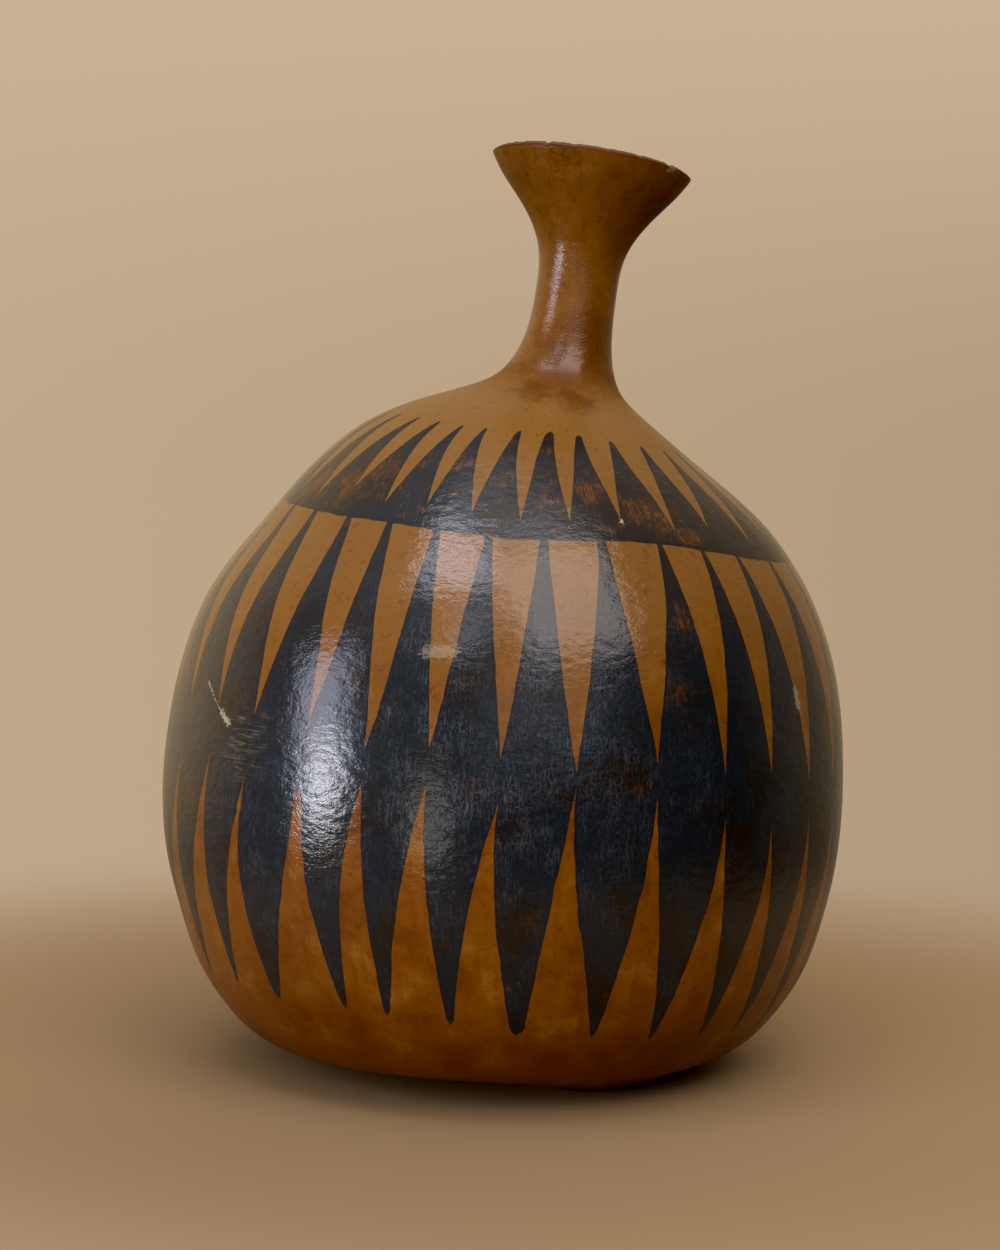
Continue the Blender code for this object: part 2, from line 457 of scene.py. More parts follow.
# settings that many nodes share
softly = {"interpolation_type": "SMOOTHSTEP"}
colours = {"data_type": "RGBA"}
single = {"data_type": "FLOAT"}
times = {"operation": "MULTIPLY"}
timesPlus = {"operation": "MULTIPLY_ADD"}
plus = {"operation": "ADD"}
minus = {"operation": "SUBTRACT"}
most = {"operation": "MAXIMUM"}
unsigned = {"operation": "ABSOLUTE"}
scaled = {"operation": "SCALE"}
reaches = ("From Min", "From Max", "To Min", "To Max")


# Dried bottle gourd rind: woody, cured to ochre and burnished, painted with a lampblack wash, then varnished.
# The varnish gives a satin gloss that breaks up over the fine wrinkled skin, the rind under it a warm amber,
# and the wash a blue-black that is rubbed thin and brown in places. Lengths are in millimetres.
skin = {
    "ochreDeep": "#663606",
    "ochre": "#7A460C",
    "ochrePale": "#8E5C1E",
    "gold": "#7B531D",  # yellower over the upper half
    "umber": "#4C1F04",  # stains, flecks, and painted shade on the underside and down the neck's right side
    "amber": "#5F3208",  # the root of the neck
    "dust": "#93703A",  # dry bloom on the shoulder
    "lampblack": "#181D23",
    "brownBlack": "#1C1713",
    "rubbedAndSheen": "#757D88",  # fine pale wear of the wash, with a painted bluish sheen on it
    "rust": "#6E3E10",  # rind showing through where the wash is worn away
    "scuffed": "#A89F86",
    "roughness": 0.42,
    "paintRoughness": 0.46,
    "scuffRoughness": 0.85,
    "ior": 1.5,  # of the skin and of the varnish
    "undergloss": 0.14,  # specular level of the skin and the wash beneath the varnish
    "coatRoughness": 0.07,
    "rippleDepth": 0.17,
    "wrinkleDepth": 0.085,
    "crackWidth": 0.24,
    "crackShade": 0.5,
    "shakeReach": 16.0,  # how far the outlines of patches stray
    "patchCore": 0.2,  # the share of its radius out to which a patch is whole
    "strokeFade": (1.6, 0.5),  # where a stroke ends and where it is whole, as shares of its half width
    "sway": 0.05,  # how far the edges of the marks sway, as a share of their spacing
    "raggedness": 0.012,  # how far the bristles of the brush stray, and how soft the edge is, as such shares
    "edgeBlur": 0.006,
    "bandSway": 1.2,  # how far the band's lower edge sways
    "bloomShare": 0.7,
    "stainAndShadeShare": 1.8,
    "rubbedAndSheenLeast": 0.3,  # rubbing and painted sheen outside the places where they are strongest
    "brownCalm": -0.6,  # there is less pale rubbing and painted sheen where the wash is brown
    # ways that patterns run, through space or along the growth: the smaller a number, the longer they are
    "runs": {
        "grainRun": ("growth", (1.0, 1.0, 0.12)),
        "handRun": ("place", (1.0, 1.0, 0.22)),
        "speckRun": ("growth", (1.0, 1.0, 0.55)),
        "streakRun": ("growth", (1.0, 1.0, 0.14)),
        "flakeRun": ("growth", (1.0, 1.0, 0.3)),
        "hatchRun": ("place", (0.07, 0.07, 1.0)),
        "wrinkleRun": ("place", (1.0, 1.0, 1.8)),  # longer round the gourd than up it
    },
    # each pattern's way and look: its Scale is one over its size in millimetres. The specks, the hatch and
    # the streaks are really finer; they are drawn coarser so that they show.
    "patterns": {
        "mottle": ("place", {"Scale": 1 / 13.333, "Detail": 6.0, "Roughness": 0.6}),
        "fleck": ("place", {"Scale": 1 / 2.381, "Detail": 3.0, "Roughness": 0.6}),
        "grain": ("grainRun", {"Scale": 1 / 2.857, "Detail": 3.0}),
        "hands": ("handRun", {"Scale": 1 / 6.25, "Detail": 4.0, "Roughness": 0.6}),
        "wander": ("growth", {"Scale": 1 / 8.333, "Detail": 2.0}),
        "bristle": ("growth", {"Scale": 1 / 0.909, "Detail": 2.0}),
        "cloud": ("place", {"Scale": 1 / 20.0, "Detail": 3.0}),
        "puff": ("place", {"Scale": 1 / 13.333, "Detail": 6.0, "Roughness": 0.7}),
        "speck": ("speckRun", {"Scale": 1 / 0.5263, "Detail": 3.0, "Roughness": 0.8}),
        "streak": ("streakRun", {"Scale": 1 / 0.6667, "Detail": 4.0, "Roughness": 0.75}),
        "flake": ("flakeRun", {"Scale": 1 / 0.7692, "Detail": 4.0, "Roughness": 0.7}),
        "scribble": ("flakeRun", {"Scale": 1 / 2.941, "Detail": 2.0, "Distortion": 1.2}),
        "blotch": ("place", {"Scale": 1 / 5.0, "Detail": 5.0, "Roughness": 0.7}),
        "fray": ("place", {"Scale": 1 / 0.769, "Detail": 3.0}),
        "hatch": ("hatchRun", {"Scale": 1 / 0.5263, "Detail": 3.0, "Roughness": 0.7}),
        "ripple": ("wrinkleRun", {"Scale": 1 / 4.5, "Detail": 1.0}),
        "wrinkle": ("wrinkleRun", {"Scale": 1 / 1.1, "Detail": 3.0, "Roughness": 0.55}),
    },
    # what shows of a pattern, or sets in by height: from this value of it to that one, and how much
    # shows at each (0 and 1 where that isn't said)
    "shares": {
        "mottleDark": ("mottle", 0.5, 0.32),
        "mottlePale": ("mottle", 0.5, 0.7),
        "grainShade": ("grain", 0.46, 0.72, 0.0, 0.45),
        "fleckShade": ("fleck", 0.54, 0.72, 0.0, 0.4),
        "handShade": ("hands", 0.42, 0.66, 0.0, 0.26),
        "cloudBrown": ("cloud", 0.42, 0.66),
        "cloudWorn": ("cloud", 0.62, 0.8, 0.0, 0.5),
        "patchy": ("puff", 0.4, 0.62, 0.2),
        "specks": ("speck", 0.48, 0.8, 0.0, 0.42),
        "streaks": ("streak", 0.48, 0.76, 0.0, 0.44),
        "flakes": ("flake", 0.5, 0.66, 0.1),
        "blotches": ("blotch", 0.5, 0.66),
        "hatching": ("hatch", 0.5, 0.68),
        "golden": ("height", 90.0, 165.0, 0.0, 0.85),
        "ruddy": ("height", 212.0, 245.0, 1.0, 0.5),
        "bloomFoot": ("height", 186.0, 212.0),
        "bloomTop": ("height", 226.0, 213.0),
        # painted shade: umber darkens the rind towards the underside
        "underside": ("height", 54.0, 6.0, 0.0, 0.64),
        "lipLine": ("height", 289.6, 290.8, 0.0, 0.7),
        "handled": ("height", 212.0, 226.0),
        "streakLow": ("height", 160.0, 100.0, 0.5),
        "wornShoulder": ("height", 166.0, 184.0, 0.0, 0.65),
        "bellyCoat": ("height", 208.0, 196.0, 0.45),
        "groundCoat": ("height", 15.0, 95.0, 0.15),
        "rootCoat": ("height", 221.0, 213.0, 0.1),
        "neckCoat": ("height", 223.0, 228.0),
        "mouthCoat": ("height", 271.0, 256.0),
        "neckWrinkle": ("height", 226.0, 243.0, 1.0, 1.7),
    },
    "shake": {"Scale": 1 / 4.545, "Detail": 3.0},
    "pits": {"Scale": 1 / 10.0},
    "pitShade": {"From Min": 0.06, "From Max": 0.03, "To Max": 0.4},
    "scribbles": {"From Min": 0.014, "From Max": 0.0, "To Max": 0.25},
    "threads": {"From Min": 0.045, "From Max": 0.012},
    "frayShare": {"From Min": 0.3, "From Max": 0.7, "To Min": -1.0},
    "markOutline": {"From Min": 0.04, "From Max": 0.02, "To Max": 0.7},  # by the share inside a mark's edge
    "bandEdge": {"From Min": 0.48, "From Max": 0.72},  # by the distance above the band's lower line
    "bandOutline": {"From Min": 2.6, "From Max": 1.4},
    "rubbedAndSheenPlaces": [  # where the wash is rubbed most and its painted sheen is strongest
        ((-5.0, -108.0, 125.0), 80.0, 1.0),
        ((-60.0, -88.0, 90.0), 50.0, 0.5),
        ((20.0, 105.0, 110.0), 80.0, 0.6),
    ],
    "wornPlaces": [  # centre, radius and strength of each patch where the wash has worn to rust
        ((-58.0, -32.0, 190.0), 10.0, 0.9),
        ((-49.0, -46.0, 190.0), 10.0, 0.9),
        ((-38.0, -50.0, 194.0), 9.0, 0.8),
        ((-15.0, -58.0, 197.0), 5.0, 1.0),
        ((-2.0, -65.0, 192.0), 6.0, 0.75),
        ((13.0, -70.0, 187.0), 6.0, 0.7),
        ((25.0, -63.0, 190.0), 8.0, 0.95),
        ((29.0, -73.0, 179.0), 5.0, 1.0),
        ((40.0, -63.0, 183.0), 9.0, 1.0),
        ((47.0, -61.0, 181.0), 8.0, 1.0),
        ((55.0, -62.0, 175.0), 8.0, 0.85),
        ((53.0, -83.0, 152.0), 7.0, 0.7),
        ((50.0, -93.0, 132.0), 9.0, 0.3),
        ((42.0, -102.0, 103.0), 3.5, 0.55),
        ((26.0, -107.0, 106.0), 3.5, 0.2),
        ((-7.0, -110.0, 106.0), 3.5, 0.35),
        ((3.6, -107.0, 54.0), 2.5, 0.6),
        ((3.4, -105.0, 49.0), 2.5, 0.7),
        ((3.3, -103.4, 44.0), 2.5, 0.6),
        ((-72.5, -80.0, 118.0), 2.5, 0.8),
        ((-60.0, 45.0, 150.0), 14.0, 0.7),
        ((30.0, 70.0, 180.0), 14.0, 0.9),
        ((85.0, 60.0, 120.0), 10.0, 0.7),
    ],
    "brownPlaces": [  # where the wash is brown-black rather than blue-black
        ((48.0, -66.0, 178.0), 46.0, 0.9),
        ((-54.0, -46.0, 186.0), 32.0, 0.8),
    ],
    "stainAndShadePlaces": [  # centre, radius and strength of each browner stain in the rind, and of the painted shade on the neck's right side
        ((-66.0, -76.0, 46.0), 34.0, 0.3),
        ((-48.5, -87.3, 32.8), 16.0, 0.4),
        ((14.0, -104.0, 48.0), 8.0, 0.35),
        ((60.0, -75.0, 25.0), 16.0, 0.4),
        ((40.0, -5.0, 283.0), 16.0, 0.5),
        # painted shade down the right side of the neck, which gets less light
        ((31.0, -9.0, 234.0), 21.0, 0.42),
    ],
    "amberPlaces": [  # the root of the neck is darkest in two runs
        ((8.0, -22.0, 220.0), 11.0, 0.7),
        ((20.5, -25.0, 219.0), 12.0, 0.76),
        ((14.0, -17.0, 227.0), 18.0, 0.62),
    ],
    "scratches": [  # start, end, half width and strength of each pale scuff
        ((-24.0, -99.1, 143.2), (-16.0, -100.6, 143.6), 1.5, 0.36),
        ((-92.1, -50.9, 127.4), (-87.0, -62.5, 119.5), 0.35, 0.7),
        ((-87.0, -62.5, 119.5), (-84.5, -66.9, 116.8), 0.8, 0.9),
        ((89.5, -57.0, 129.0), (90.0, -57.1, 124.0), 1.1, 0.55),
        ((49.0, -13.8, 289.3), (50.2, -12.6, 288.9), 0.7, 0.7),
        ((34.1, -69.1, 180.9), (34.1, -69.2, 180.3), 0.6, 1.0),
    ],
    "hatched": [((-79.0, -74.0, 111.0), 16.0, 0.26)],  # where fine scratches lie side by side
    "cracks": [  # hairline cracks at the lip
        ((10.6, -21.8, 295.8), (11.9, -21.5, 293.3)),
        ((11.9, -21.5, 293.3), (14.1, -22.3, 293.0)),
        ((13.1, -23.0, 295.8), (15.6, -23.7, 294.6)),
        ((15.6, -23.7, 294.6), (14.4, -22.3, 292.7)),
        ((14.4, -22.3, 292.7), (16.9, -22.8, 291.8)),
    ],
    "hiddenScratches": 8,  # on the far side, where their places, lengths and strengths are drawn by lot
    "hiddenSeed": 23,
    "hiddenBack": 0.02,  # how far back, how high up and how far out from the axis they lie, in metres
    "hiddenHeights": (0.05, 0.2),
    "hiddenReach": 0.07,
    "hiddenLength": (5.0, 11.0),
    "hiddenWidth": (0.25, 0.5),
    "hiddenStrength": (0.35, 0.7),
}


def makePatterns(tree, ways):
    # every noise of the rind, how much of it shows, and what sets in by height, each under its own name
    seen = dict(ways)
    for name, (way, run) in skin["runs"].items():
        seen[name] = addNode(tree, "VectorMath", times, {0: seen[way], 1: run})
    for name, (way, look) in skin["patterns"].items():
        seen[name] = addNode(tree, "TexNoise", {}, {"Vector": seen[way], **look})
    for name, (pattern, *span) in skin["shares"].items():
        seen[name] = addNode(tree, "MapRange", softly, {0: seen[pattern], **dict(zip(reaches, span))})
    return seen


def paintMask(tree, seen, aboveBand):
    # how much black wash lies at a place, and how much of it is the brush's first, darker outline
    sway, raggedness, blur = skin["sway"], skin["raggedness"], skin["edgeBlur"]
    insides, masks = [], []
    for name in ("diamonds", "teeth"):
        chart = addNode(tree, "UVMap", {"uv_map": name}, {})
        place = addNode(tree, "SeparateXYZ", {}, {0: chart}).node.outputs
        # the chart's whole numbers are the middles of marks, so half a spacing is added before the fraction
        drift = addNode(tree, "Math", timesPlus, {0: seen["wander"], 1: sway, 2: 0.5 - sway / 2})
        across = addNode(tree, "Math", plus, {0: place["X"], 1: drift})
        part = addNode(tree, "Math", {"operation": "FRACT"}, {0: across})
        centred = addNode(tree, "Math", minus, {0: part, 1: 0.5})
        away = addNode(tree, "Math", unsigned, {0: centred})
        edge = addNode(tree, "Math", minus, {0: place["Y"], 1: away})
        inside = addNode(tree, "Math", timesPlus, {0: seen["bristle"], 1: raggedness, 2: edge})
        insides.append(inside)
        reach = {"From Min": raggedness / 2 - blur, "From Max": raggedness / 2 + blur}
        masks.append(addNode(tree, "MapRange", softly, {0: inside, **reach}))
    drifted = addNode(tree, "Math", timesPlus, {0: seen["wander"], 1: skin["bandSway"], 2: aboveBand})
    above = addNode(tree, "MapRange", softly, {0: drifted, **skin["bandEdge"]})
    bandLine = addNode(tree, "MapRange", softly, {0: drifted, **skin["bandOutline"]})
    bandLine = addNode(tree, "Math", times, {0: bandLine, 1: above})
    paint, inside = (
        addNode(tree, "Mix", single, {0: above, 2: low, 3: high}) for low, high in (masks, insides)
    )
    brushLine = addNode(tree, "MapRange", softly, {0: inside, **skin["markOutline"]})
    return paint, addNode(tree, "Math", most, {0: brushLine, 1: bandLine})


def patches(tree, place, spots):
    # soft round patches, 1 in their middles times their strengths
    total = 0.0
    for centre, radius, strength in spots:
        away = addNode(tree, "VectorMath", {"operation": "DISTANCE"}, {0: place, 1: centre}, "Value")
        fade = {"From Min": radius, "From Max": skin["patchCore"] * radius, "To Max": strength}
        patch = addNode(tree, "MapRange", softly, {0: away, **fade})
        total = addNode(tree, "Math", most, {0: patch, 1: total})
    return total


def strokes(tree, place, lines, frayed):
    # thin marks along straight lines: start, end, half width, strength
    total = 0.0
    for start, end, half, strength in lines:
        run = Vector(end) - Vector(start)
        away = addNode(tree, "VectorMath", minus, {0: place, 1: start})
        along = run / run.length_squared
        share = addNode(tree, "VectorMath", {"operation": "DOT_PRODUCT"}, {0: away, 1: along}, "Value")
        kept = addNode(tree, "Math", {**plus, "use_clamp": True}, {0: share, 1: 0.0})
        nearest = addNode(tree, "VectorMath", scaled, {0: run, "Scale": kept})
        gap = addNode(tree, "VectorMath", {"operation": "DISTANCE"}, {0: away, 1: nearest}, "Value")
        gap = addNode(tree, "Math", timesPlus, {0: frayed, 1: half, 2: gap})
        edge, core = skin["strokeFade"]
        fade = {"From Min": edge * half, "From Max": core * half, "To Max": strength}
        mark = addNode(tree, "MapRange", softly, {0: gap, **fade})
        total = addNode(tree, "Math", most, {0: mark, 1: total})
    return total


def makeRindColour(tree, seen):
    # the bare rind: mottled ochre with painted shade below, dusty on the shoulder, with grain, flecks,
    # stains, and painted shade on the neck's right side
    golden = addNode(tree, "Math", times, {0: seen["golden"], 1: seen["ruddy"]})
    # the bloom lies on the shoulder, between the teeth and the neck
    bloom = seen["bloomFoot"]
    for share in (seen["bloomTop"], seen["fleck"], skin["bloomShare"]):
        bloom = addNode(tree, "Math", times, {0: bloom, 1: share})
    # the neck is streaked with darker amber, where hands held it
    hands = addNode(tree, "Math", times, {0: seen["handShade"], 1: seen["handled"]})
    # browner stains, and painted shade down the neck's right side
    stainsAndShade = patches(tree, seen["ragged"], skin["stainAndShadePlaces"])
    for share in (seen["mottle"], skin["stainAndShadeShare"]):
        stainsAndShade = addNode(tree, "Math", times, {0: stainsAndShade, 1: share})
    pits = addNode(tree, "TexVoronoi", {}, {"Vector": seen["place"], **skin["pits"]}, "Distance")
    pits = addNode(tree, "MapRange", softly, {0: pits, **skin["pitShade"]})
    amber = patches(tree, seen["ragged"], skin["amberPlaces"])
    layers = [(seen["mottleDark"], "ochreDeep"), (seen["mottlePale"], "ochrePale")]
    layers += [(seen["grainShade"], "ochreDeep"), (golden, "gold"), (bloom, "dust"), (amber, "amber")]
    # umber for flecks, stains, lip, hands and pits, and painted shade below and on the neck's right side
    stainedAndShaded = (seen["fleckShade"], seen["underside"], stainsAndShade, seen["lipLine"], hands, pits)
    layers += [(share, "umber") for share in stainedAndShaded]
    colour = linear(skin["ochre"])
    for share, name in layers:
        colour = addNode(tree, "Mix", colours, {0: share, 6: colour, 7: linear(skin[name])}, 2)
    return colour


def makePaintColour(tree, seen, outlined):
    # the wash: blue-black to brown-black, rubbed pale in specks and streaks that are partly painted sheen,
    # worn to rust in patches
    brown = patches(tree, seen["ragged"], skin["brownPlaces"])
    browner = addNode(tree, "Math", most, {0: seen["cloudBrown"], 1: brown})
    # broad places on the front get more pale rubbing: painted sheen where the varnish hazes, over real wear
    bright = patches(tree, seen["ragged"], skin["rubbedAndSheenPlaces"])
    bright = addNode(tree, "Math", plus, {0: bright, 1: skin["rubbedAndSheenLeast"]})
    calm = addNode(tree, "Math", timesPlus, {0: brown, 1: skin["brownCalm"], 2: 1.0})
    bright = addNode(tree, "Math", times, {0: bright, 1: calm})
    # the rubbing and its painted sheen come in patches
    specks = addNode(tree, "Math", times, {0: seen["specks"], 1: seen["patchy"]})
    streaks = seen["streaks"]
    for share in (seen["streakLow"], seen["patchy"]):
        streaks = addNode(tree, "Math", times, {0: streaks, 1: share})
    # scribbled scratches are the thin lines where a noise crosses its middle value
    crossing = addNode(tree, "Math", minus, {0: seen["scribble"], 1: 0.5})
    crossing = addNode(tree, "Math", unsigned, {0: crossing})
    scribbles = addNode(tree, "MapRange", softly, {0: crossing, **skin["scribbles"]})
    scribbles = addNode(tree, "Math", times, {0: scribbles, 1: seen["patchy"]})
    rubbedAndSheen = addNode(tree, "Math", most, {0: specks, 1: streaks})
    rubbedAndSheen = addNode(tree, "Math", most, {0: rubbedAndSheen, 1: scribbles})
    unmarked = addNode(tree, "Math", minus, {0: 1.0, 1: outlined})
    for share in (bright, unmarked):
        rubbedAndSheen = addNode(tree, "Math", times, {0: rubbedAndSheen, 1: share})
    # above the band line the wash is worn all round, in blotches of a few millimetres
    shoulder = addNode(tree, "Math", times, {0: seen["wornShoulder"], 1: seen["blotches"]})
    worn = patches(tree, seen["ragged"], skin["wornPlaces"])
    for share in (seen["cloudWorn"], shoulder):
        worn = addNode(tree, "Math", most, {0: worn, 1: share})
    # the wear shows the rind in upright flakes and in fine threads
    threads = addNode(tree, "MapRange", softly, {0: crossing, **skin["threads"]})
    flakes = addNode(tree, "Math", most, {0: seen["flakes"], 1: threads})
    for share in (flakes, unmarked):
        worn = addNode(tree, "Math", times, {0: worn, 1: share})
    colour = linear(skin["lampblack"])
    for share, name in ((browner, "brownBlack"), (rubbedAndSheen, "rubbedAndSheen"), (worn, "rust")):
        colour = addNode(tree, "Mix", colours, {0: share, 6: colour, 7: linear(skin[name])}, 2)
    return colour


def makePaintedSkin(hidden):
    material, tree, shader = newMaterial("varnishedGourdRind")
    metres = addNode(tree, "TexCoord", {}, {}, "Object")
    place = addNode(tree, "VectorMath", scaled, {0: metres, "Scale": 1 / millimetre})
    # the same place shaken by some millimetres, so that patches get ragged outlines
    shake = addNode(tree, "TexNoise", {}, {"Vector": place, **skin["shake"]}, "Color")
    shake = addNode(tree, "VectorMath", minus, {0: shake, 1: (0.5, 0.5, 0.5)})
    shake = addNode(tree, "VectorMath", scaled, {0: shake, "Scale": skin["shakeReach"]})
    ragged = addNode(tree, "VectorMath", plus, {0: place, 1: shake})
    growth = addNode(tree, "Attribute", {"attribute_name": "growth"}, {}, "Vector")
    height = addNode(tree, "SeparateXYZ", {}, {0: growth}, "Z")
    seen = makePatterns(tree, {"place": place, "ragged": ragged, "growth": growth, "height": height})
    aboveBand = addNode(tree, "Attribute", {"attribute_name": "aboveBand"}, {}, "Fac")
    paint, outlined = paintMask(tree, seen, aboveBand)
    bare = makeRindColour(tree, seen)
    black = makePaintColour(tree, seen, outlined)
    colour = addNode(tree, "Mix", colours, {0: paint, 6: bare, 7: black}, 2)
    frayed = addNode(tree, "MapRange", {}, {0: seen["fray"], **skin["frayShare"]})
    scuffs = strokes(tree, place, skin["scratches"] + hidden, frayed)
    # fine scratches lie side by side in one patch, nearly level
    hatched = patches(tree, ragged, skin["hatched"])
    hatched = addNode(tree, "Math", times, {0: seen["hatching"], 1: hatched})
    scuffs = addNode(tree, "Math", most, {0: scuffs, 1: hatched})
    width, shade = skin["crackWidth"], skin["crackShade"]
    cracks = strokes(tree, place, [(*crack, width, shade) for crack in skin["cracks"]], frayed)
    for share, name in ((scuffs, "scuffed"), (cracks, "brownBlack")):
        colour = addNode(tree, "Mix", colours, {0: share, 6: colour, 7: linear(skin[name])}, 2)
    tree.links.new(colour, shader.inputs["Base Color"])
    # the wash dries a little duller than the rind, and scuffs are dull
    dull = addNode(tree, "Mix", single, {0: paint, 2: skin["roughness"], 3: skin["paintRoughness"]})
    dull = addNode(tree, "Mix", single, {0: scuffs, 2: dull, 3: skin["scuffRoughness"]})
    tree.links.new(dull, shader.inputs["Roughness"])
    shader.inputs["IOR"].default_value = skin["ior"]
    shader.inputs["Specular IOR Level"].default_value = skin["undergloss"]
    # the varnish is whole on belly and neck, and thin underneath, on the dusty shoulder and at the mouth
    belly = seen["bellyCoat"]
    for name in ("groundCoat", "rootCoat"):
        belly = addNode(tree, "Math", times, {0: belly, 1: seen[name]})
    neck = addNode(tree, "Math", times, {0: seen["neckCoat"], 1: seen["mouthCoat"]})
    varnish = addNode(tree, "Math", most, {0: belly, 1: neck})
    tree.links.new(varnish, shader.inputs["Coat Weight"])
    shader.inputs["Coat Roughness"].default_value = skin["coatRoughness"]
    shader.inputs["Coat IOR"].default_value = skin["ior"]
    # the neck's wrinkles are deeper than the belly's
    wrinkle = addNode(tree, "Math", times, {0: seen["wrinkle"], 1: seen["neckWrinkle"]})
    coarse = {"Distance": skin["rippleDepth"] * millimetre, "Height": seen["ripple"]}
    fine = {"Distance": skin["wrinkleDepth"] * millimetre, "Height": wrinkle}
    relief = addNode(tree, "Bump", {}, coarse)
    relief = addNode(tree, "Bump", {}, {**fine, "Normal": relief})
    for name in ("Normal", "Coat Normal"):
        tree.links.new(relief, shader.inputs[name])
    return material


# Scraped gourd wood: the pale, fibrous inner wall and the cut lip, unvarnished, so it stays matt and dry.
scrapedWood = {
    "fibre": "#A5865A",
    "pith": "#7C5C38",
    "grime": "#5A3A1C",
    "roughness": 0.9,
    "strand": {"Scale": 1 / 1.4, "Detail": 4.0, "Roughness": 0.6},  # one over the fibres' spacing
    "strandRun": (1.0, 1.0, 0.15),
    "strandShare": {"From Min": 0.35, "From Max": 0.65},
    "strandDepth": 0.15,
    "handled": {"From Min": 284.0, "From Max": 291.0, "To Max": 0.88},  # heights where hands have darkened it
}


def makeScrapedWood():
    material, tree, shader = newMaterial("scrapedGourdWood")
    growth = addNode(tree, "Attribute", {"attribute_name": "growth"}, {}, "Vector")
    height = addNode(tree, "SeparateXYZ", {}, {0: growth}, "Z")
    along = addNode(tree, "VectorMath", times, {0: growth, 1: scrapedWood["strandRun"]})
    strand = addNode(tree, "TexNoise", {}, {"Vector": along, **scrapedWood["strand"]})
    fibres = addNode(tree, "MapRange", softly, {0: strand, **scrapedWood["strandShare"]})
    handled = addNode(tree, "MapRange", softly, {0: height, **scrapedWood["handled"]})
    colour = linear(scrapedWood["pith"])
    for share, name in ((fibres, "fibre"), (handled, "grime")):
        colour = addNode(tree, "Mix", colours, {0: share, 6: colour, 7: linear(scrapedWood[name])}, 2)
    tree.links.new(colour, shader.inputs["Base Color"])
    shader.inputs["Roughness"].default_value = scrapedWood["roughness"]
    depth = scrapedWood["strandDepth"] * millimetre
    relief = addNode(tree, "Bump", {}, {"Distance": depth, "Height": strand})
    tree.links.new(relief, shader.inputs["Normal"])
    return material


def pickHiddenScratches(mesh):
    # short scratches on the side away from the camera, between points of the skin a few millimetres apart
    draw = random.Random(skin["hiddenSeed"])
    nearest, furthest = skin["hiddenLength"]
    low, high = skin["hiddenHeights"]
    backs = [v.co for v in mesh.vertices if v.co.y > skin["hiddenBack"] and low < v.co.z < high]
    backs = [co / millimetre for co in backs if co.xy.length > skin["hiddenReach"]]
    picked = []
    while len(picked) < skin["hiddenScratches"]:
        start = draw.choice(backs)
        ends = [co for co in backs if nearest < (co - start).length < furthest]
        end = draw.choice(ends)
        width, strength = draw.uniform(*skin["hiddenWidth"]), draw.uniform(*skin["hiddenStrength"])
        picked.append((tuple(start), tuple(end), width, strength))
    return picked


rind = buildRind()
rind.data.materials.append(makePaintedSkin(pickHiddenScratches(rind.data)))
rind.data.materials.append(makeScrapedWood())
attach(rind, "root")
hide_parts("gourd_shell")
print("rind:", len(rind.data.polygons), "faces")


# A plain pale floor that fades into the wall's tone, and the soft light of a room with windows to the left
studio = {
    "floorRadius": 0.44,
    "floorSolid": 0.15,  # the floor is whole out to here, and has faded out at its edge
    "floorSides": 96,
    "floorColour": "#937A58",
    "floorRoughness": 0.85,
    "wallLeft": "#C3AC8F",  # what the eye sees round the gourd
    "wallRight": "#B0987B",
    "wallTop": "#CCB598",
    "wallLight": "#CFB48C",  # what shows in the varnish from behind
    "roomLight": "#2A2622",  # and from in front
    "ceilingLight": "#A89F95",
    # by how far a direction points right (X), backwards (Y) or up (Z): from this share of it to that one
    "shares": {
        "right": ("X", "LINEAR", -0.25, 0.25),
        "high": ("Z", "SMOOTHSTEP", -0.05, 0.15),
        "behind": ("Y", "SMOOTHSTEP", -0.1, 0.5),
        "dimmer": ("X", "LINEAR", -0.8, 0.8, 1.0, 0.3),
        "sunk": ("Z", "SMOOTHSTEP", -0.35, 0.05, 0.2),
        "above": ("Z", "SMOOTHSTEP", 0.35, 0.85),
        "leftward": ("X", "SMOOTHSTEP", 0.2, 0.5, 1.0, 0.3),
    },
    "middle": (0.0, 0.0, 0.12),
    # each lamp: name, degrees right of the front, degrees up, distance, lean, width and height, power, colour
    "lamps": [
        ("window", -64.5, 11.0, 1.6, 20.0, (0.52, 0.94), 8.2, "#E8EAFF"),
        ("windowPane", -60.0, -1.0, 1.5, 20.0, (0.27, 0.28), 3.9, "#F6F6FA"),
        ("doorway", -23.0, -6.0, 1.6, 0.0, (0.24, 0.36), 0.8, "#FFF2E0"),
        ("skylight", -42.0, 67.0, 1.7, 0.0, (0.62, 0.36), 4.6, "#E8ECFC"),
        ("paleCeiling", 28.3, 54.0, 1.7, 0.0, (1.06, 1.3), 13.3, "#FFF3EC"),
        ("ceilingLamp", -18.0, 44.0, 1.7, 0.0, (0.34, 0.32), 0.95, "#E2E8FF"),
        ("farWall", 12.0, 17.0, 1.7, 0.0, (1.2, 0.62), 1.1, "#E2E8FF"),
        ("upperCeiling", -10.0, 82.0, 1.7, 0.0, (0.9, 0.6), 1.4, "#F6F4F4"),
    ],
    "fills": [  # too broad and dim to show as gloss
        ("roomFill", -15.0, 18.0, 1.6, 0.0, (1.1, 1.1), 10.5, "#FBF3EA"),
        ("wallFill", 172.0, 30.0, 1.6, 0.0, (1.3, 1.1), 7.5, "#FFF1DC"),
        ("sideFill", 118.0, 40.0, 1.6, 0.0, (1.1, 1.0), 4.2, "#FFF4E4"),
    ],
}


